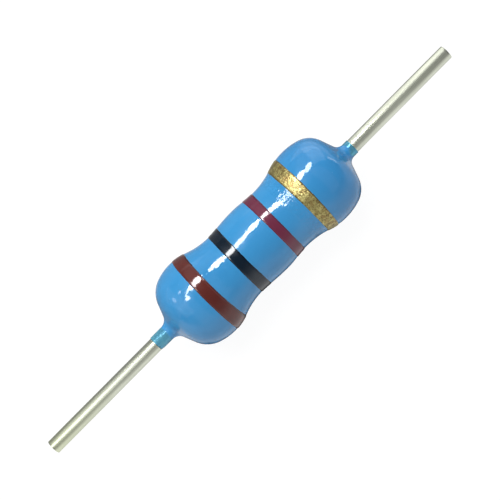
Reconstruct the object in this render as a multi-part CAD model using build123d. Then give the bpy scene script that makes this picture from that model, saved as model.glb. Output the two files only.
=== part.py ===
from build123d import *
from math import radians, sin
import os

# Axial film resistor of the 1 W size, with four colour bands.
# Millimetres. The leads lie along X and the gold band is at the +X end.
# The origin is the middle of the body, on the centre line of the leads.
# Every round piece is drawn as a half section above the X axis and revolved.

# Ceramic rod
rod_diameter = 3.30
rod_length = 9.50

# Resistive film on the rod, and the spiral cut that trims its value.
# The real film is under a thousandth of a millimetre thick.
film_thickness = 0.03
kerf_width = 0.25
kerf_pitch = 1.60
kerf_to_cap = 0.40

# Pressed steel end caps, a tight fit over the film
cap_wall = 0.25
cap_base = 0.25
cap_reach = 2.10
cap_outer_bevel = 0.35
cap_inner_bevel = 0.12
corner_clearance = 0.03

# Tinned copper leads, each butt-welded to its cap on an upset foot, and
# left a little thicker by the weld as far as the coat covers them.
# A lead's length is what stands out of the cap.
lead_diameter = 0.75
left_lead_length = 9.08
right_lead_length = 7.95
weld_diameter = 1.15
weld_height = 0.30
weld_swelling = 0.01

# Lacquer coat, by its thickness over what it covers
coat_on_left_cap = 0.328
coat_on_right_cap = 0.285
coat_at_left_waist = 0.154
coat_at_middle = 0.248
coat_at_right_waist = 0.146

# Where the coat is thickest and thinnest along the body
crown_from_cap_face = 1.16
left_waist_from_cap = 1.03
right_waist_from_cap = 1.05
middle_hump_x = 0.10

# Ends of the coat, from the crown down to the wire. A meniscus is given
# by its length along the wire and its height.
crown_end_angle = 18
left_crown_end_radius = 2.72
left_shoulder_radius = 1.44
left_flank_angle = 68.5
left_meniscus = (0.465, 0.32)
left_skirt_length = 0.73
right_crown_end_radius = 3.09
right_shoulder_radius = 1.21
right_flank_angle = 70
right_meniscus = (0.375, 0.26)
right_skirt_length = 0.20
skirt_thickness = 0.03
skirt_edge_thickness = 0.02

# Colour bands, painted rings that follow the coat
band_thickness = 0.05
brown_from_cap_face = 1.62
brown_width = 0.73
black_from_cap_mouth = 1.34
black_width = 0.60
red_from_cap_mouth = 1.54
red_width = 0.55
gold_from_cap_face = 1.93
gold_width = 0.74

# Places that follow from the sizes above
LEFT, RIGHT = -1, 1
rod_radius = rod_diameter / 2
film_radius = rod_radius + film_thickness
cap_radius = film_radius + cap_wall
wire_radius = lead_diameter / 2
rod_edge = cap_inner_bevel + corner_clearance
cap_face_x = rod_length / 2 + cap_base
cap_mouth_x = rod_length / 2 - cap_reach


def half_bar(start_x, end_x, radius):
    """Half section of a round bar on the X axis."""
    return Pos((start_x + end_x) / 2, radius / 2) * Rectangle(abs(end_x - start_x), radius)


def top_corner(section, side):
    """Corner of a half section that is highest and furthest to one side."""
    top = section.vertices().group_by(Axis.Y)[-1].sort_by(Axis.X)
    return top[0] if side == LEFT else top[-1]


def spun(section):
    """Solid that a half section sweeps in one turn about the X axis."""
    return revolve(section, Axis.X)


def kerf():
    """Spiral cut through the whole film, between the mouths of the two caps."""
    start_x = kerf_to_cap - cap_mouth_x
    path = Helix(kerf_pitch, -2 * start_x, film_radius, center=(start_x, 0, 0), direction=(1, 0, 0))
    outward = path @ 0 - Vector(start_x, 0, 0)
    cutter = Plane(path @ 0, x_dir=outward, z_dir=path % 0) * Rectangle(4 * film_thickness, kerf_width)
    return sweep(cutter, path=path, is_frenet=True)


def ceramic_rod():
    """Rod with its edges broken to clear the corners inside the caps."""
    blank = half_bar(-rod_length / 2, rod_length / 2, rod_radius)
    return spun(chamfer([top_corner(blank, LEFT), top_corner(blank, RIGHT)], rod_edge))


def film_blank():
    """Film on the straight part of the rod, before it is trimmed."""
    end_x = rod_length / 2 - rod_edge
    return spun(half_bar(-end_x, end_x, film_radius) - half_bar(-end_x, end_x, rod_radius))


def cap_blank(side):
    """Half section of a cap with its inside filled."""
    blank = half_bar(side * cap_mouth_x, side * cap_face_x, cap_radius)
    return chamfer(top_corner(blank, side), cap_outer_bevel)


def end_cap(side):
    """Cup pressed over one end of the rod, its base against the rod's end."""
    cavity = half_bar(side * cap_mouth_x, side * rod_length / 2, film_radius)
    return spun(cap_blank(side) - chamfer(top_corner(cavity, side), cap_inner_bevel))


def lead_section(side, length):
    """Half section of a wire with its weld foot, swollen up to the end of the coat."""
    coat_box = body_section.bounding_box()
    coat_end_x = coat_box.min.X if side == LEFT else coat_box.max.X
    face_x = side * cap_face_x
    outline = Polyline(
        (face_x, 0),
        (face_x, weld_diameter / 2),
        (face_x + side * weld_height, wire_radius + weld_swelling),
        (coat_end_x, wire_radius),
        (face_x + side * length, wire_radius),
        (face_x + side * length, 0),
        close=True,
    )
    return make_face(outline)


def coat_end(side, crown, crown_radius, shoulder_radius, flank_angle, meniscus_size, skirt_length):
    """Coat from a crown over the shoulder, down the flank and out along the wire."""
    meniscus_length, meniscus_height = meniscus_size
    top = JernArc(crown, (side, 0), crown_radius, -side * crown_end_angle)
    shoulder = JernArc(top @ 1, top % 1, shoulder_radius, side * (crown_end_angle - flank_angle))
    drop = (shoulder @ 1).Y - meniscus_height - wire_radius - skirt_thickness
    flank = PolarLine(shoulder @ 1, drop / sin(radians(flank_angle)), direction=shoulder % 1)
    foot = flank @ 1 + (side * meniscus_length, -meniscus_height)
    meniscus = Spline(flank @ 1, foot, tangents=[flank % 1, (side, 0)])
    skirt_edge = (foot.X + side * skirt_length, wire_radius + skirt_edge_thickness)
    return [top, shoulder, flank, meniscus, Line(meniscus @ 1, skirt_edge)]


def coat_blank():
    """Half section of the whole body inside the coat's outer surface."""
    left_crown = (crown_from_cap_face - cap_face_x, cap_radius + coat_on_left_cap)
    left_waist = (left_waist_from_cap - cap_mouth_x, film_radius + coat_at_left_waist)
    middle = (middle_hump_x, film_radius + coat_at_middle)
    right_waist = (cap_mouth_x - right_waist_from_cap, film_radius + coat_at_right_waist)
    right_crown = (cap_face_x - crown_from_cap_face, cap_radius + coat_on_right_cap)

    level = [(1, 0), (1, 0)]
    swells = [
        Spline(left_crown, left_waist, tangents=level),
        Spline(left_waist, middle, tangents=level),
        Spline(middle, right_waist, tangents=level),
        Spline(right_waist, right_crown, tangents=level),
    ]
    left_end = coat_end(
        LEFT, left_crown, left_crown_end_radius, left_shoulder_radius,
        left_flank_angle, left_meniscus, left_skirt_length,
    )
    right_end = coat_end(
        RIGHT, right_crown, right_crown_end_radius, right_shoulder_radius,
        right_flank_angle, right_meniscus, right_skirt_length,
    )
    left_tip, right_tip = left_end[-1] @ 1, right_end[-1] @ 1
    closing = Polyline(left_tip, (left_tip.X, 0), (right_tip.X, 0), right_tip)
    return make_face(left_end + swells + right_end + [closing])


def lacquer_coat():
    """Coat round the caps, the film and the first of each wire."""
    inside = [
        half_bar(-cap_mouth_x, cap_mouth_x, film_radius),
        cap_blank(LEFT),
        cap_blank(RIGHT),
        lead_section(LEFT, left_lead_length),
        lead_section(RIGHT, right_lead_length),
    ]
    return spun(body_section - inside)


def colour_band(middle_x, width):
    """Ring of paint that follows the surface under it."""
    paint = Pos(0, band_thickness) * body_section - body_section
    strip = Pos(middle_x, film_radius) * Rectangle(width, cap_radius, align=(Align.CENTER, Align.MIN))
    return spun(paint & strip)


body_section = coat_blank()
pieces = {
    "ceramic_rod": ceramic_rod(),
    "resistive_film": film_blank() - kerf(),
    "end_cap_left": end_cap(LEFT),
    "end_cap_right": end_cap(RIGHT),
    "lead_left": spun(lead_section(LEFT, left_lead_length)),
    "lead_right": spun(lead_section(RIGHT, right_lead_length)),
    "lacquer_coat": lacquer_coat(),
    "band_1_brown": colour_band(brown_from_cap_face - cap_face_x, brown_width),
    "band_2_black": colour_band(black_from_cap_mouth - cap_mouth_x, black_width),
    "band_3_red": colour_band(cap_mouth_x - red_from_cap_mouth, red_width),
    "band_4_gold": colour_band(cap_face_x - gold_from_cap_face, gold_width),
}

os.makedirs("parts", exist_ok=True)
for name, piece in pieces.items():
    export_step(piece, f"parts/{name}.step")
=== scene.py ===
from math import cos, pi, radians, sin, tan

import bpy
import numpy as np
from mathutils import Matrix, Vector, noise


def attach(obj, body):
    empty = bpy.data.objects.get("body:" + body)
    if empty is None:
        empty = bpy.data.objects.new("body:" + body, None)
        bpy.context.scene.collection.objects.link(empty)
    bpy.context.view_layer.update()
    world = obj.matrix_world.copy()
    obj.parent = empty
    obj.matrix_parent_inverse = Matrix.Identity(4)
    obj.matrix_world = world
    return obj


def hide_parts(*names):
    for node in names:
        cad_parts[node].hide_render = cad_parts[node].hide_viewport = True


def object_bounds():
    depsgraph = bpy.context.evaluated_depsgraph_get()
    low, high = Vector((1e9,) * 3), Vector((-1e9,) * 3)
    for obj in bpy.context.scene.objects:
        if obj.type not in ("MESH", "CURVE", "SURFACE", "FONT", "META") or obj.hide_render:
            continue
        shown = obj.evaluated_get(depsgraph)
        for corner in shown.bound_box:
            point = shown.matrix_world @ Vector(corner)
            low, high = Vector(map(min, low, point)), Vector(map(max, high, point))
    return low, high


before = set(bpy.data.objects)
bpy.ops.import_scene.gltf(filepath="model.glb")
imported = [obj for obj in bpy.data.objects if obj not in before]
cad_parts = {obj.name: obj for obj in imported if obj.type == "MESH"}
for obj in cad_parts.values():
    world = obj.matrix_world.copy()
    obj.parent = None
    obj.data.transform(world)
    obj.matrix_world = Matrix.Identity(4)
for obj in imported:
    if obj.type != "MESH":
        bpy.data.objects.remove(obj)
cad_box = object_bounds()

# Lacquer coat: one blue skin, dipped over the caps and the rod and baked. It
# swells over the two caps, draws in between them, and ends in a meniscus and
# a thin see-through skirt on each wire. Lengths are millimetres.
HUMP = (0.10, 1.928)
CROWN_LEAN = 18
COAT_ENDS = {
    -1: dict(crown=(3.837, 2.258), waist=(1.491, 1.834), waist_bend=3.98,
             shoulder_bend=1.443, flank=68.5, foot_bend=0.496, skirt=0.73),
    1: dict(crown=(3.840, 2.215), waist=(1.451, 1.826), waist_bend=4.43,
            shoulder_bend=1.206, flank=69.9, foot_bend=0.398, skirt=0.28),
}
SKIN_ABOVE_WIRE = 0.03
WIRE_RADIUS = 0.375
WELD_FOOT, WELD_LENGTH, SWOLLEN_RADIUS = 0.575, 0.30, 0.385
CAP_FACE, CAP_MOUTH, CAP_RADIUS, CAP_BEVEL = 5.00, 2.65, 1.93, 0.35
FILM_RADIUS = 1.68
COAT_SEGMENTS = 192
OUTLINE_STEP = 0.04


def walk_outline(side, crown, waist, waist_bend, shoulder_bend, flank, foot_bend, skirt):
    """Outline of one half of the coat, from the hump in its middle to the edge of its skirt."""
    points, heading = [np.array([side * HUMP[0], HUMP[1]])], 0.0

    def go(length, turn=0.0):
        """Walk on in small steps, turning evenly by so many degrees in all."""
        nonlocal heading
        steps = max(2, int(length / OUTLINE_STEP))
        for _ in range(steps):
            heading += radians(turn) / steps / 2
            step = np.array([cos(heading), sin(heading)]) * length / steps
            points.append(points[-1] + step)
            heading += radians(turn) / steps / 2

    def bend(radius, turn):
        """Walk round an arc."""
        go(radius * radians(abs(turn)), turn)

    across, rise = waist[0] - side * HUMP[0], HUMP[1] - waist[1]
    inner_turn = 2 * np.degrees(np.arctan2(rise, across))
    hump_bend = across / sin(radians(inner_turn)) - waist_bend
    across, rise = crown[0] - waist[0], crown[1] - waist[1]
    outer_turn = 2 * np.degrees(np.arctan2(rise, across))
    crown_bend = across / sin(radians(outer_turn)) - waist_bend

    bend(hump_bend, -inner_turn)
    bend(waist_bend, inner_turn + outer_turn)
    bend(crown_bend, -outer_turn - CROWN_LEAN)
    bend(shoulder_bend, CROWN_LEAN - flank)
    meniscus = foot_bend * (1 - cos(radians(flank)))
    drop = points[-1][1] - meniscus - WIRE_RADIUS - SKIN_ABOVE_WIRE
    go(drop / sin(radians(flank)))
    bend(foot_bend, flank)
    go(skirt)
    points = np.array(points)
    points[:, 0] *= side
    return points


left_half = walk_outline(-1, **COAT_ENDS[-1])
right_half = walk_outline(1, **COAT_ENDS[1])
coat_outline = np.concatenate([left_half[::-1], right_half[1:]])
coat_left, coat_right = coat_outline[0, 0], coat_outline[-1, 0]

SAG_DEPTH, SAG_PACE, SAG_START = 0.0050, 0.55, Vector((3.1, 0.4, 7.7))
PEEL_DEPTH, PEEL_PACE, PEEL_START = 0.0020, 2.3, Vector((0.2, 5.0, 1.3))
RIPPLE_DEPTH, RIPPLE_PACE = 0.0023, 5.2
RIPPLE_FADES, LEAST_RIPPLE = 3.2, 0.15
SMOOTH_RADIUS, SMOOTH_FADE = 0.45, 0.6


def orange_peel(x, radius, angle, roughly=1.0):
    """How far the dried lacquer stands off its even outline. It is smooth on the wire."""
    place = Vector((x, radius * sin(angle), radius * cos(angle)))
    sag = SAG_DEPTH * noise.noise(place * SAG_PACE + SAG_START)
    peel = PEEL_DEPTH * noise.noise(place * PEEL_PACE + PEEL_START)
    between_caps = min(1.0, max(LEAST_RIPPLE, RIPPLE_FADES - abs(x)))
    ripple = RIPPLE_DEPTH * roughly * between_caps * noise.noise(place * RIPPLE_PACE)
    on_body = min(1.0, max(0.0, (radius - SMOOTH_RADIUS) / SMOOTH_FADE))
    return (sag + peel + ripple) * on_body


def angles(count):
    """Even angles round the wire, from the top over the +Y side."""
    return np.arange(count) * 2 * np.pi / count


def ring(xs, radii, turn):
    """Points of one ring, in metres. xs and radii are one value, or one for each angle."""
    return np.stack([xs + 0 * turn, radii * np.sin(turn), radii * np.cos(turn)], axis=1) * 0.001


def skin(name, rings, ends):
    """Mesh through rings of points, whose ends are "joined" to each other or "capped"."""
    count = len(rings[0])
    points = np.concatenate(rings)
    faces = []
    last = len(rings) if ends == "joined" else len(rings) - 1
    for i in range(last):
        a, b = i * count, (i + 1) % len(rings) * count
        faces += [(a + j, a + (j + 1) % count, b + (j + 1) % count, b + j)
                  for j in range(count)]
    if ends == "capped":
        middles = np.array([rings[0].mean(axis=0), rings[-1].mean(axis=0)])
        first, final = len(points), len(points) + 1
        points = np.concatenate([points, middles])
        end = (len(rings) - 1) * count
        faces += [(first, (j + 1) % count, j) for j in range(count)]
        faces += [(final, end + j, end + (j + 1) % count) for j in range(count)]
    mesh = bpy.data.meshes.new(name)
    mesh.from_pydata(points.tolist(), [], faces)
    mesh.shade_smooth()
    piece = bpy.data.objects.new(name, mesh)
    bpy.context.scene.collection.objects.link(piece)
    return piece


# The edge of the left skirt is ragged, and drawn back most on the -Y side.
RAGGED_FROM, RAGGED_DEPTH = -6.45, 0.17
coat_angles = angles(COAT_SEGMENTS)
ragged = np.array([0.5 - 0.5 * sin(a) + 0.4 * noise.noise(Vector((3 * cos(a), 3 * sin(a), 2.0)))
                   for a in coat_angles])
coat_rings = []
for x, radius in coat_outline:
    relief = np.array([orange_peel(x, radius, a) for a in coat_angles])
    on_skirt = max(0.0, (RAGGED_FROM - x) / (RAGGED_FROM - coat_left))
    drawn_back = RAGGED_DEPTH * on_skirt * ragged ** 3
    coat_rings.append(ring(x + drawn_back, radius + relief, coat_angles))
half_inside = [
    (CAP_MOUTH, FILM_RADIUS), (CAP_MOUTH, CAP_RADIUS), (CAP_FACE - CAP_BEVEL, CAP_RADIUS),
    (CAP_FACE, CAP_RADIUS - CAP_BEVEL), (CAP_FACE, WELD_FOOT),
    (CAP_FACE + WELD_LENGTH, SWOLLEN_RADIUS),
]
inside = [(coat_right, WIRE_RADIUS)] + half_inside[::-1]
inside += [(-x, radius) for x, radius in half_inside] + [(coat_left, WIRE_RADIUS)]
coat_rings += [ring(x, radius, coat_angles) for x, radius in inside]
coat = skin("lacquer_coat_skin", coat_rings, "joined")


def fill(tree, node, inputs):
    """Give a node's inputs their values. A value may be the output of another node."""
    for name, value in inputs.items():
        if isinstance(value, bpy.types.NodeSocket):
            tree.links.new(value, node.inputs[name])
        else:
            node.inputs[name].default_value = value


def add(tree, kind, inputs=None, **settings):
    """New shader node."""
    made = tree.nodes.new(kind)
    for name, value in settings.items():
        setattr(made, name, value)
    fill(tree, made, inputs or {})
    return made


def reckon(tree, operation, first, second=0.0):
    """One value reckoned from one or two."""
    return add(tree, "ShaderNodeMath", {0: first, 1: second}, operation=operation).outputs[0]


def reckon_vector(tree, operation, first, second=(0, 0, 0)):
    """One vector reckoned from one or two."""
    made = add(tree, "ShaderNodeVectorMath", {0: first, 1: second}, operation=operation)
    return made.outputs[0]


def enlarge(tree, vector, times):
    """Vector made so many times longer."""
    made = add(tree, "ShaderNodeVectorMath", {0: vector, "Scale": times}, operation="SCALE")
    return made.outputs[0]


def span(tree, value, low, high, to_low=0.0, to_high=1.0):
    """Value stretched from one range to another and held at its ends."""
    ranges = {"From Min": low, "From Max": high, "To Min": to_low, "To Max": to_high}
    return add(tree, "ShaderNodeMapRange", {"Value": value, **ranges}).outputs["Result"]


def blend_colours(tree, share, low, high):
    """Colour between two, by a share from 0 to 1."""
    made = add(tree, "ShaderNodeMix", {"Factor": share, "A": low, "B": high}, data_type="RGBA")
    return made.outputs["Result"]


def colour(red, green, blue):
    """Shader colour from the 0 to 255 values that a screen shows."""
    parts = [c / 255 for c in (red, green, blue)]
    linear = [c / 12.92 if c <= 0.04045 else ((c + 0.055) / 1.055) ** 2.4 for c in parts]
    return (*linear, 1.0)


def millimetres(tree):
    """Place on the piece, in millimetres."""
    return enlarge(tree, add(tree, "ShaderNodeTexCoord").outputs["Object"], 1000.0)


def along_part(tree):
    """Place along the part only, in millimetres right of its middle."""
    return add(tree, "ShaderNodeSeparateXYZ", {0: millimetres(tree)}).outputs["X"]


def grain(tree, place, size, detail=2.0, stretch=(1, 1, 1)):
    """Soft noise with lumps of so many millimetres, longer where stretch is under 1."""
    spread = reckon_vector(tree, "MULTIPLY", place, stretch)
    settings = {"Vector": spread, "Scale": 1 / size, "Detail": detail}
    return add(tree, "ShaderNodeTexNoise", settings).outputs["Fac"]


def bumpy(tree, height, strength, depth):
    """Normal of a fine relief, whose depth is in metres."""
    settings = {"Height": height, "Strength": strength, "Distance": depth}
    return add(tree, "ShaderNodeBump", settings).outputs[0]


def finish(name):
    """New material, with its node tree and its main shader."""
    made = bpy.data.materials.new(name)
    made.use_nodes = True
    return made, made.node_tree, made.node_tree.nodes["Principled BSDF"]


def lacquer_skin_group():
    """Slight cloudiness, dust specks and fine peel that every dried layer of lacquer has."""
    group = bpy.data.node_groups.new("lacquer_skin", "ShaderNodeTree")
    face = group.interface
    face.new_socket("Peel Size", in_out="INPUT", socket_type="NodeSocketFloat").default_value = 0.4
    for name in ("Cloud", "Speck", "Peel"):
        face.new_socket(name, in_out="OUTPUT", socket_type="NodeSocketFloat")
    source = add(group, "NodeGroupInput")
    place = millimetres(group)
    cloud = span(group, grain(group, place, 2.2, 3.0), 0.3, 0.7)
    dust = add(group, "ShaderNodeTexVoronoi", {"Vector": place, "Scale": 2.4})
    speck = span(group, dust.outputs["Distance"], 0.03, 0.07, 1.0, 0.0)
    pace = reckon(group, "DIVIDE", 1.0, source.outputs["Peel Size"])
    peel = add(group, "ShaderNodeTexNoise", {"Vector": place, "Scale": pace, "Detail": 1.5})
    add(group, "NodeGroupOutput", {"Cloud": cloud, "Speck": speck, "Peel": peel.outputs["Fac"]})
    return group


lacquer_skin = lacquer_skin_group()

THIN_BLUE, THICK_BLUE = colour(60, 145, 202), colour(65, 151, 208)
# Neck shade blue is painted shade and reflection, for the darker, greyer mottling on the concave
# necks.
DEEP_BLUE, NECK_SHADE_BLUE = colour(53, 133, 192), colour(84, 122, 168)
DUSTY_BLUE = colour(120, 182, 226)
DARK_TEAL, PALE_TEAL = colour(66, 142, 186), colour(110, 184, 196)
LEFT_SKIRT, RIGHT_SKIRT = (-6.18, -6.30), (6.12, 6.24)
NECK_IN, NECK_OUT = (5.50, 5.72), (6.05, 5.85)
DEEPER = (2.6, 4.4)
PITS_IN, PITS_OUT, PIT_DEPTH = (1.95, 2.15), (2.95, 2.6), 27.0
PIMPLES_OUT, PIMPLE_DEPTH = (3.0, 2.6), 3.4
LACQUER_IOR = 1.52

lacquer, tree, shader = finish("blue_lacquer")
place, along = millimetres(tree), along_part(tree)
from_middle = reckon(tree, "ABSOLUTE", along)
look = add(tree, "ShaderNodeGroup", {"Peel Size": 0.30}, node_tree=lacquer_skin)
wander = span(tree, grain(tree, place, 0.5), 0.3, 0.7, -0.10, 0.10)
frayed = reckon(tree, "ADD", along, wander)
left_skirt = span(tree, frayed, *LEFT_SKIRT)
right_skirt = span(tree, frayed, *RIGHT_SKIRT)
skirt = reckon(tree, "MAXIMUM", left_skirt, right_skirt)

# Painted shade and reflection: mottled darker, greyer patches on the necks, in place of the shade
# and reflections in the concave meniscus.
neck_shade = span(tree, grain(tree, place, 0.40), 0.38, 0.60, 0.0, 0.38)
neck = reckon(tree, "MULTIPLY", span(tree, from_middle, *NECK_IN),
              span(tree, from_middle, *NECK_OUT))
nib = span(tree, look.outputs["Speck"], 0, 1, 0.0, 0.30)
blue = blend_colours(tree, look.outputs["Cloud"], THIN_BLUE, THICK_BLUE)
blue = blend_colours(tree, reckon(tree, "MULTIPLY", neck_shade, neck), blue, NECK_SHADE_BLUE)
blue = blend_colours(tree, span(tree, along, *DEEPER, 0.0, 0.55), blue, DEEP_BLUE)
blue = blend_colours(tree, nib, blue, DUSTY_BLUE)
teal = blend_colours(tree, grain(tree, place, 0.25), DARK_TEAL, PALE_TEAL)

pitted = reckon(tree, "MULTIPLY", span(tree, along, *PITS_IN, 0.0, PIT_DEPTH),
                span(tree, along, *PITS_OUT))
pimpled = span(tree, from_middle, *PIMPLES_OUT, 0.0, PIMPLE_DEPTH)
coarse = reckon(tree, "MULTIPLY", grain(tree, place, 0.13, 1.0),
                reckon(tree, "MAXIMUM", pimpled, pitted))
fill(tree, shader, {
    "Base Color": blend_colours(tree, skirt, blue, teal),
    "Metallic": reckon(tree, "MAXIMUM", span(tree, left_skirt, 0, 1, 0.0, 0.30),
                       span(tree, right_skirt, 0, 1, 0.0, 0.55)),
    "Roughness": reckon(tree, "ADD", span(tree, look.outputs["Cloud"], 0, 1, 0.07, 0.11),
                        span(tree, skirt, 0, 1, 0.0, 0.06)),
    "Normal": bumpy(tree, reckon(tree, "ADD", look.outputs["Peel"], coarse), 0.6, 0.0000020),
})
shader.inputs["IOR"].default_value = LACQUER_IOR
coat.data.materials.append(lacquer)
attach(coat, "root")
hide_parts("lacquer_coat")

# Colour bands: rings of paint rolled onto the baked coat. Each is a little
# proud of it, with a rounded bead and a slightly unsteady line at both edges.
BAND_SEGMENTS = 256
BAND_STATIONS = 13
PAINT_DEPTH, PAINT_SUNK = 0.022, 0.006
LEVELLED = 0.3
# The bands are darker at their edges, most at the right (+X) edge.
RIGHT_DARK_EDGE, LEFT_DARK_EDGE, LEFT_EDGE_DARKENS = (0.08, 0.02), (0.06, 0.01), 0.45


def paint_band(name, node, left_edge, right_edge, seed, waver=0.010):
    """Ring of paint on the coat. An edge is its place, its bow on both sides and its lean."""
    turn = angles(BAND_SEGMENTS)
    edges = []
    for side, (place, bow, lean) in ((-1, left_edge), (1, right_edge)):
        wave = [noise.noise(Vector((2.2 * cos(a), 2.2 * sin(a), seed + side))) for a in turn]
        fine = [noise.noise(Vector((9.0 * cos(a), 9.0 * sin(a), seed - side))) for a in turn]
        unsteady = waver * (np.array(wave) + 0.5 * np.array(fine))
        edges.append(place + bow * np.sin(turn) ** 2 + lean * np.sin(turn) + unsteady)

    def paint_ring(share, depth):
        """Ring at a share of the width, so far off the coat, whose finest ripple it levels."""
        xs = edges[0] + (edges[1] - edges[0]) * (share + 1) / 2
        radii = np.interp(xs, coat_outline[:, 0], coat_outline[:, 1])
        levelled = [orange_peel(x, radius, a, LEVELLED) for x, radius, a in zip(xs, radii, turn)]
        return ring(xs, radii + levelled + depth, turn)

    across = np.linspace(-1, 1, BAND_STATIONS)
    bead = PAINT_DEPTH * np.clip(1 - across ** 8, 0, 1) ** 0.5
    rings = [paint_ring(share, depth) for share, depth in zip(across, bead)]
    rings += [paint_ring(share, -PAINT_SUNK) for share in across[::-2]]
    band = skin(name, rings, "joined")
    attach(band, "root")
    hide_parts(node)
    return band


def dark_band_edges(tree, middle, width):
    """Share of 1 in the edges of a band, where its colour is darker, most at the right (+X) edge.
    """
    off = reckon(tree, "SUBTRACT", along_part(tree), middle)
    right = span(tree, off, *(width / 2 - inset for inset in RIGHT_DARK_EDGE))
    left = span(tree, off, *(inset - width / 2 for inset in LEFT_DARK_EDGE), 0.0, LEFT_EDGE_DARKENS)
    return reckon(tree, "MAXIMUM", left, right)


NIB_BROWN = colour(176, 104, 70)


def gloss_paint(name, thin, thick, edge_colour, middle, width):
    """Gloss paint whose tone clouds a little between two colours."""
    made, tree, shader = finish(name)
    look = add(tree, "ShaderNodeGroup", {"Peel Size": 0.22}, node_tree=lacquer_skin)
    streak = grain(tree, millimetres(tree), 0.12, 2.0, (2.5, 0.4, 0.4))
    nib = span(tree, look.outputs["Speck"], 0, 1, 0.0, 0.35)
    paint = blend_colours(tree, look.outputs["Cloud"], thin, thick)
    paint = blend_colours(tree, span(tree, streak, 0.35, 0.65, 0.0, 0.25), paint, thin)
    paint = blend_colours(tree, nib, paint, NIB_BROWN)
    fill(tree, shader, {
        "Base Color": blend_colours(tree, dark_band_edges(tree, middle, width), paint, edge_colour),
        "Roughness": span(tree, look.outputs["Cloud"], 0, 1, 0.09, 0.14),
        "Normal": bumpy(tree, look.outputs["Peel"], 0.5, 0.0000012),
    })
    shader.inputs["IOR"].default_value = LACQUER_IOR
    return made


brown = paint_band("brown_band", "band_1_brown",
                   (-3.727, 0.056, 0.012), (-3.037, 0.095, -0.019), 4.0)
brown.data.materials.append(gloss_paint(
    "brown_paint", colour(102, 45, 39), colour(88, 38, 34), colour(66, 26, 30), -3.36, 0.70))

black = paint_band("black_band", "band_2_black",
                   (-1.600, 0.010, 0.004), (-1.003, 0.033, 0.003), 9.0)
black.data.materials.append(gloss_paint(
    "black_paint", colour(18, 33, 46), colour(12, 24, 36), colour(6, 8, 16), -1.30, 0.60))

red = paint_band("red_band", "band_3_red",
                 (0.817, -0.016, -0.012), (1.343, 0.030, 0.021), 14.0)
red.data.materials.append(gloss_paint(
    "red_paint", colour(117, 50, 71), colour(104, 40, 63), colour(84, 24, 52), 1.08, 0.53))

# The gold band is the same kind of ring, in a paint of brass flakes in clear
# lacquer: the flakes lie nearly flat, each turned a little its own way.
FLAKE_PACE, FLAKE_TILT = 42.0, 0.42
DULL_BRASS, CLEAN_BRASS = colour(132, 117, 68), colour(206, 195, 126)
# The dark edge brass is the darker colour at the gold band's edges.
RUSTY_BRASS, DARK_EDGE_BRASS = colour(150, 112, 64), colour(104, 88, 54)
GAP_BROWN = colour(106, 86, 50)

gold = paint_band("gold_band", "band_4_gold",
                  (2.683, 0.0, -0.050), (3.368, -0.030, 0.020), 21.0, 0.018)
gold_paint, tree, shader = finish("gold_flake_paint")
place = millimetres(tree)
flakes = add(tree, "ShaderNodeTexVoronoi", {"Vector": place, "Scale": FLAKE_PACE})
flake_tone = add(tree, "ShaderNodeSeparateColor", {0: flakes.outputs["Color"]}).outputs[0]
tilt = reckon_vector(tree, "SUBTRACT", flakes.outputs["Color"], (0.5, 0.5, 0.5))
tilt = enlarge(tree, tilt, FLAKE_TILT)
flat = add(tree, "ShaderNodeNewGeometry").outputs["Normal"]
patches = span(tree, grain(tree, place, 0.28, 2.0), 0.38, 0.62)
tone = reckon(tree, "ADD", span(tree, flake_tone, 0, 1, 0.0, 0.38),
              span(tree, patches, 0, 1, 0.0, 0.62))
rusty = span(tree, grain(tree, place, 0.34, 1.0), 0.50, 0.66, 0.0, 0.45)
filled = span(tree, grain(tree, place, 0.075, 1.5), 0.36, 0.52, 0.20, 1.0)
brass = blend_colours(tree, tone, DULL_BRASS, CLEAN_BRASS)
brass = blend_colours(tree, rusty, brass, RUSTY_BRASS)
brass = blend_colours(tree, filled, GAP_BROWN, brass)
fill(tree, shader, {
    "Base Color": blend_colours(tree, dark_band_edges(tree, 3.03, 0.69), brass, DARK_EDGE_BRASS),
    "Metallic": span(tree, filled, 0, 1, 0.42, 0.70),
    "Roughness": span(tree, flake_tone, 0, 1, 0.32, 0.42),
    "Normal": reckon_vector(tree, "NORMALIZE", reckon_vector(tree, "ADD", flat, tilt)),
})
shader.inputs["Specular IOR Level"].default_value = 0.25
shader.inputs["Coat Weight"].default_value = 0.08
shader.inputs["Coat Roughness"].default_value = 0.10
gold.data.materials.append(gold_paint)

# Leads: straight copper wire, tinned and drawn, butt-welded to the caps on an
# upset foot and cut square. The cut shows the copper inside the tin.
LEFT_LENGTH, RIGHT_LENGTH = 9.02, 7.89
LEAD_SEGMENTS = 96
LEAD_STATIONS = 110
UNDER_COAT, SWOLLEN_AT_EDGE = 0.02, 0.001
UNEVEN, UNEVEN_PACE = 0.0060, 0.40
CUT_ROUND, CUT_SET_BACK, CUT_SHEARED = 0.02, 0.004, 0.006
CUT_SHARES = (0.97, 0.80, 0.55, 0.28)
COPPER_EDGE = (0.345, 0.33)


def drawn_metal_group():
    """Fine lines along X that drawing or rolling leaves, with duller patches."""
    group = bpy.data.node_groups.new("drawn_metal", "ShaderNodeTree")
    for name in ("Lines", "Dull"):
        group.interface.new_socket(name, in_out="OUTPUT", socket_type="NodeSocketFloat")
    place = millimetres(group)
    lines = span(group, grain(group, place, 0.05, 3.0, (0.02, 1, 1)), 0.3, 0.7)
    dull = span(group, grain(group, place, 0.9, 3.0, (0.5, 1, 1)), 0.35, 0.7)
    add(group, "NodeGroupOutput", {"Lines": lines, "Dull": dull})
    return group


drawn_metal = drawn_metal_group()


def wire_radius(x, angle):
    """Radius of the tinned wire, which is even to a few thousandths of a millimetre."""
    place = Vector((x * UNEVEN_PACE, 1.4 * sin(angle), 1.4 * cos(angle)))
    return WIRE_RADIUS + UNEVEN * noise.noise(place) + 0.0008 * noise.noise(place * 3.7)


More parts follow.
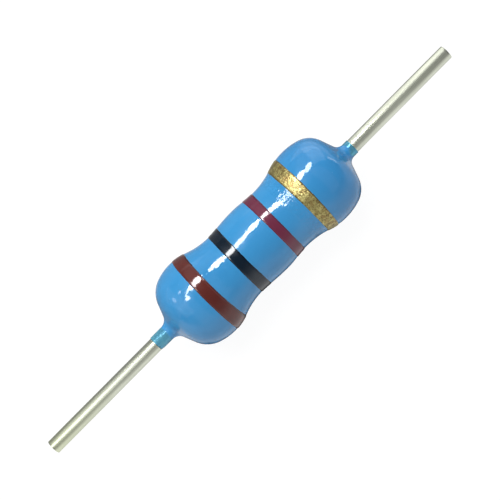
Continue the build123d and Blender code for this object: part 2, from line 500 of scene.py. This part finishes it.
def wire_lead(name, node, side, length, coat_end):
    """Wire from its foot on the cap to its cut end."""
    turn = angles(LEAD_SEGMENTS)
    tip = CAP_FACE + length
    covered = [(CAP_FACE, WELD_FOOT), (CAP_FACE + WELD_LENGTH, SWOLLEN_RADIUS),
               (abs(coat_end) - UNDER_COAT, WIRE_RADIUS + SWOLLEN_AT_EDGE)]
    rings = [ring(side * x, radius, turn) for x, radius in covered]
    for x in np.linspace(abs(coat_end), tip - CUT_ROUND, LEAD_STATIONS):
        radii = np.array([wire_radius(side * x, a) for a in turn])
        rings.append(ring(side * x, radii, turn))
    for lean in (30, 60, 90):
        x = tip - CUT_ROUND + CUT_ROUND * sin(radians(lean))
        inset = CUT_ROUND * (1 - cos(radians(lean)))
        rings.append(ring(side * x, radii - inset, turn))
    for share in CUT_SHARES:
        sheared = [noise.noise(Vector((3 * share * sin(a), 9 * share * cos(a), side)))
                   for a in turn]
        x = tip - CUT_SET_BACK + CUT_SHEARED * np.array(sheared)
        rings.append(ring(side * x, (radii - CUT_ROUND) * share, turn))
    if side < 0:
        rings = rings[::-1]
    lead = skin(name, rings, "capped")
    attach(lead, "root")
    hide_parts(node)
    return lead


TIN_LINES, TIN = colour(206, 210, 192), colour(226, 230, 213)
DULL_TIN, TARNISHED_TIN = colour(190, 194, 177), colour(218, 224, 188)
DARK_COPPER, BRIGHT_COPPER = colour(168, 112, 90), colour(204, 148, 122)
LEFT_CUT, RIGHT_CUT = (-14.008, -14.014), (12.878, 12.884)

tinned, tree, shader = finish("tinned_copper")
place, along = millimetres(tree), along_part(tree)
metal = add(tree, "ShaderNodeGroup", node_tree=drawn_metal)
lines, dull = metal.outputs["Lines"], metal.outputs["Dull"]
tin = blend_colours(tree, lines, TIN_LINES, TIN)
tin = blend_colours(tree, span(tree, dull, 0, 1, 0, 0.5), tin, DULL_TIN)
tin = blend_colours(tree, span(tree, along, -9.5, -13.5, 0.0, 0.6), tin, TARNISHED_TIN)
shear = span(tree, grain(tree, place, 0.05, 2.0, (1, 0.2, 1)), 0.3, 0.7)
copper = blend_colours(tree, shear, DARK_COPPER, BRIGHT_COPPER)
cut = reckon(tree, "MAXIMUM", span(tree, along, *LEFT_CUT), span(tree, along, *RIGHT_CUT))
off_axis = reckon_vector(tree, "MULTIPLY", place, (0, 1, 1))
off_axis = add(tree, "ShaderNodeVectorMath", {0: off_axis}, operation="LENGTH").outputs["Value"]
bare = reckon(tree, "MULTIPLY", cut, span(tree, off_axis, *COPPER_EDGE))
fill(tree, shader, {
    "Base Color": blend_colours(tree, bare, tin, copper),
    "Roughness": reckon(tree, "ADD", span(tree, dull, 0, 1, 0.29, 0.38),
                        span(tree, cut, 0, 1, 0.0, 0.2)),
    "Normal": bumpy(tree, lines, 0.35, 0.0000010),
})
shader.inputs["Metallic"].default_value = 0.95

left_lead = wire_lead("left_wire", "lead_left", -1, LEFT_LENGTH, coat_left)
right_lead = wire_lead("right_wire", "lead_right", 1, RIGHT_LENGTH, coat_right)
for lead in (left_lead, right_lead):
    lead.data.materials.append(tinned)

# Inside the coat: a fired alumina rod, a sputtered alloy film on it, and two
# pressed and plated steel caps. Their shapes are kept as they were loaded.
ALUMINA, PALE_ALUMINA = colour(226, 222, 210), colour(242, 240, 232)
PORE_GREY = colour(196, 188, 172)
DARK_ALLOY, PALE_ALLOY = colour(104, 100, 96), colour(134, 128, 120)
ROLLED_STEEL, PALE_STEEL = colour(186, 184, 176), colour(208, 206, 198)

alumina, tree, shader = finish("alumina")
place = millimetres(tree)
white = blend_colours(tree, grain(tree, place, 0.6, 4.0), ALUMINA, PALE_ALUMINA)
pore = add(tree, "ShaderNodeTexVoronoi", {"Vector": place, "Scale": 6.0}).outputs["Distance"]
fill(tree, shader, {
    "Base Color": blend_colours(tree, span(tree, pore, 0.05, 0.10), PORE_GREY, white),
    "Roughness": span(tree, grain(tree, place, 0.2), 0.3, 0.7, 0.55, 0.75),
})

alloy, tree, shader = finish("alloy_film")
place = millimetres(tree)
fill(tree, shader, {
    "Base Color": blend_colours(tree, grain(tree, place, 0.8, 3.0), DARK_ALLOY, PALE_ALLOY),
    "Roughness": span(tree, grain(tree, place, 0.1), 0.3, 0.7, 0.28, 0.42),
})
shader.inputs["Metallic"].default_value = 1.0

plated, tree, shader = finish("plated_steel_cap")
metal = add(tree, "ShaderNodeGroup", node_tree=drawn_metal)
fill(tree, shader, {
    "Base Color": blend_colours(tree, metal.outputs["Lines"], ROLLED_STEEL, PALE_STEEL),
    "Roughness": span(tree, metal.outputs["Dull"], 0, 1, 0.22, 0.38),
    "Normal": bumpy(tree, metal.outputs["Lines"], 0.4, 0.000002),
})
shader.inputs["Metallic"].default_value = 1.0

for node, look in (("ceramic_rod", alumina), ("resistive_film", alloy),
                   ("end_cap_left", plated), ("end_cap_right", plated)):
    for material_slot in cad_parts[node].material_slots:
        material_slot.material = look

# Floor: a white sheet under the body, whose fattest rings rest on it. The
# camera sees it white, with a faint soft shadow. What shines sees it glow
# with painted light and shade: a painted shadow beside the body, dim on the
# far side, with painted brighter patches by the far contour and the leads.
FLOOR_HALF = 0.8
# Glow levels of the floor in what shines, with painted shadow and painted light by place.
NEAR_PALE, NEAR_PAINTED_SHADOW, NEAR_WIRES = 0.92, 0.04, 0.80
FAR_DIM, FAR_BODY, FAR_RIGHT = 0.24, 0.45, 0.95
CAMERA_GLOW = 0.93
LIT, LIT_FOR_CAMERA, LIT_FOR_SHINE = 0.86, 0.13, 0.03


def grey(level):
    """Shader colour of a plain grey."""
    return (level, level, level, 1.0)


low = cad_box[0][2]
floor_mesh = bpy.data.meshes.new("floor")
floor_mesh.from_pydata([(-FLOOR_HALF, -FLOOR_HALF, low), (FLOOR_HALF, -FLOOR_HALF, low),
                        (FLOOR_HALF, FLOOR_HALF, low), (-FLOOR_HALF, FLOOR_HALF, low)],
                       [], [(0, 1, 2, 3)])
floor = bpy.data.objects.new("floor", floor_mesh)
bpy.context.scene.collection.objects.link(floor)

sheet, tree, shader = finish("white_sheet")
place = add(tree, "ShaderNodeSeparateXYZ", {0: millimetres(tree)})
x, y = place.outputs["X"], place.outputs["Y"]
# Painted light and shade for what shines: a painted contact shadow close beside the body on the
# near side, pale further out and by the wires; dim on the far side, with painted brighter patches
# by the body and to the right.
by_wires = span(tree, reckon(tree, "ABSOLUTE", x), 6.2, 7.2)
near_side = reckon(tree, "MAXIMUM", span(tree, y, -4.4, -3.0, NEAR_PALE, NEAR_PAINTED_SHADOW),
                   span(tree, by_wires, 0, 1, 0.0, NEAR_WIRES))
far_right = reckon(tree, "MULTIPLY", span(tree, x, 5.0, 8.0, 0.0, FAR_RIGHT),
                   span(tree, y, 2.8, 5.5))
by_body = reckon(tree, "MULTIPLY", span(tree, by_wires, 0, 1, FAR_BODY, 0.0),
                 span(tree, y, 4.4, 3.2))
far_side = reckon(tree, "MAXIMUM", reckon(tree, "MAXIMUM", far_right, by_body), FAR_DIM)
sides = {"Factor": span(tree, y, -0.2, 0.2), "A": near_side, "B": far_side}
painted_glow = add(tree, "ShaderNodeMix", sides, data_type="FLOAT").outputs["Result"]

ray = add(tree, "ShaderNodeLightPath").outputs
to_shine = reckon(tree, "MAXIMUM", ray["Is Glossy Ray"], ray["Is Transmission Ray"])
to_camera = span(tree, ray["Is Camera Ray"], 0, 1, 0.0, CAMERA_GLOW)
white = blend_colours(tree, ray["Is Camera Ray"], grey(LIT), grey(LIT_FOR_CAMERA))
fill(tree, shader, {
    "Base Color": blend_colours(tree, to_shine, white, grey(LIT_FOR_SHINE)),
    "Emission Strength": reckon(tree, "ADD", reckon(tree, "MULTIPLY", to_shine, painted_glow),
                                to_camera),
})
shader.inputs["Roughness"].default_value = 1.0
shader.inputs["Specular IOR Level"].default_value = 0.0
shader.inputs["Emission Color"].default_value = grey(1.0)
floor.data.materials.append(sheet)

# Room: plain white to the camera. What shines sees a dim ceiling with a wide
# bright screen on the far side, set askew, and a pale wall on the near side.
# Each is given as grey levels by the angle from upright, towards the far side.
SCREEN = [(-20, 0.05), (28, 0.07), (40, 0.60), (60, 0.60), (74, 0.25), (92, 0.12), (130, 0.12)]
WALL = [(-97, 1.05), (-74, 0.95), (-60, 0.62), (-48, 0.32), (-36, 0.22), (-24, 0.08), (0, 0.05)]
SCREEN_ASKEW, WALL_ASKEW = (20.0, -20.0), (-7.0, 7.0)
SOFT_LIGHT = (0.39, 0.40, 0.415, 1)

world = bpy.data.worlds.new("room")
bpy.context.scene.world = world
world.use_nodes = True
tree = world.node_tree
tree.nodes.clear()
direction = add(tree, "ShaderNodeTexCoord").outputs["Generated"]
direction = add(tree, "ShaderNodeSeparateXYZ", {0: direction}).outputs
upright = reckon(tree, "DEGREES", reckon(tree, "ARCTAN2", direction["Y"], direction["Z"]))


def surface(levels, askew):
    """Grey level of a wide surface of the room, turned askew along the part."""
    low, high = levels[0][0], levels[-1][0]
    twist = span(tree, direction["X"], -0.20, 0.20, *askew)
    share = span(tree, reckon(tree, "ADD", upright, twist), low, high)
    ramp = add(tree, "ShaderNodeValToRGB", {0: share})
    places = [(angle - low) / (high - low) for angle, _ in levels]
    elements = ramp.color_ramp.elements
    elements[0].position, elements[1].position = places[0], places[-1]
    for place in places[1:-1]:
        elements.new(place)
    for element, (_, level) in zip(elements, levels):
        element.color = grey(level)
    return ramp.outputs["Color"]


both = reckon_vector(tree, "MAXIMUM", surface(SCREEN, SCREEN_ASKEW), surface(WALL, WALL_ASKEW))
ray = add(tree, "ShaderNodeLightPath").outputs
seen = blend_colours(tree, ray["Is Glossy Ray"], SOFT_LIGHT, both)
seen = blend_colours(tree, ray["Is Camera Ray"], seen, grey(1.0))
background = add(tree, "ShaderNodeBackground", {"Color": seen, "Strength": 1.0})
add(tree, "ShaderNodeOutputWorld", {"Surface": background.outputs[0]})


# Lamps: one wide soft lamp lights the part. The others only show in what
# shines: a bright bar with its rounder ends, faint windows, and pale cards
# beside the leads. Each faces the place on the X axis that it is aimed at.
def lamp(name, along, across, long_size, short_size, roll, shape, brightness,
         aim=0.0, distance=0.30):
    """Soft lamp, as bright at any size. It leans by two angles from upright, along the part
    and across it. Its sizes are angles seen from where it is aimed, its distance metres."""
    light = bpy.data.lights.new(name, "AREA")
    light.shape = shape
    light.size = 2 * distance * tan(radians(long_size / 2))
    light.size_y = 2 * distance * tan(radians(short_size / 2))
    area = light.size * light.size_y * (pi / 4 if shape == "ELLIPSE" else 1)
    light.energy = brightness * pi * area
    a, b, r = radians(along), radians(across), radians(roll)
    away = Vector((sin(a), cos(a) * sin(b), cos(a) * cos(b)))
    level = Vector((cos(a), -sin(a) * sin(b), -sin(a) * cos(b)))
    long_way = level * cos(r) + away.cross(level) * sin(r)
    turn = Matrix((long_way, away.cross(long_way), away)).transposed()
    place = away * distance + Vector((aim * 0.001, 0, 0))
    made = bpy.data.objects.new(name, light)
    made.matrix_world = Matrix.Translation(place) @ turn.to_4x4()
    bpy.context.scene.collection.objects.link(made)
    return made


soft_key = lamp("soft_key", 0, 37, 40, 40, 0, "RECTANGLE", 5.34)
soft_key.visible_glossy = False
for shown_lamp in (
    lamp("bar", 5.0, 38.2, 21.6, 14, 13, "ELLIPSE", 30, 0, 0.016),
    lamp("bar_tip", 14.6, 40.3, 8.0, 5.5, 13, "ELLIPSE", 28, 0, 0.016),
    lamp("bar_left", -10.8, 34.7, 15.4, 13.5, 16, "ELLIPSE", 22, 0, 0.016),
    lamp("far_end", 9.8, 38.2, 22, 10, 35, "ELLIPSE", 19, 4.2, 0.010),
    lamp("near_arc", -6.5, 32.6, 22, 4.6, 26, "ELLIPSE", 18, -4.35, 0.010),
    lamp("near_end", -20.8, 25.5, 10.5, 9.5, 0, "ELLIPSE", 20),
    lamp("pale_spot", -42, 57, 11, 14, 0, "ELLIPSE", 3.3),
    lamp("low_window", 28, 87, 12, 3, 0, "RECTANGLE", 1.7),
    lamp("end_window", 78, 52, 26, 6, 0, "RECTANGLE", 3.4),
    lamp("skirt_glint", -5, 47, 7, 5, 0, "ELLIPSE", 7.5, -6.60, 0.010),
    lamp("left_upright_card", -9.3, 8, 50, 38, 0, "RECTANGLE", 0.60, -10.4, 0.008),
    lamp("left_far_card", -9.3, 57, 50, 60, 0, "RECTANGLE", 0.44, -10.4, 0.008),
    lamp("left_near_card", -7.7, -12, 27, 80, 0, "RECTANGLE", 0.3, -10.4, 0.020),
    lamp("right_far_card", 9.3, 65, 50, 64, 0, "RECTANGLE", 0.92, 9.9, 0.008),
    lamp("right_near_card", 8, -9, 25, 78, 0, "RECTANGLE", 0.3, 9.6, 0.020),
):
    shown_lamp.visible_diffuse = False
    shown_lamp.visible_camera = False

# Camera: straight above the part and turned, so that the gold end points to
# the upper right.
SENSOR_WIDTH = 36
PICTURE_WIDTH = 24.15
CAMERA_X, CAMERA_Y, CAMERA_HEIGHT = -0.577, -0.016, 70.0
CAMERA_TURN = 45.2
camera_data = bpy.data.cameras.new("camera")
camera_data.sensor_width = SENSOR_WIDTH
camera_data.lens = SENSOR_WIDTH * CAMERA_HEIGHT / PICTURE_WIDTH
camera_data.clip_start = 0.001
camera_data.clip_end = 10
camera = bpy.data.objects.new("camera", camera_data)
camera.location = (CAMERA_X * 0.001, CAMERA_Y * 0.001, CAMERA_HEIGHT * 0.001)
camera.rotation_euler = (0, 0, -radians(CAMERA_TURN))
bpy.context.scene.collection.objects.link(camera)
bpy.context.scene.camera = camera
bpy.context.scene.view_settings.view_transform = "Standard"
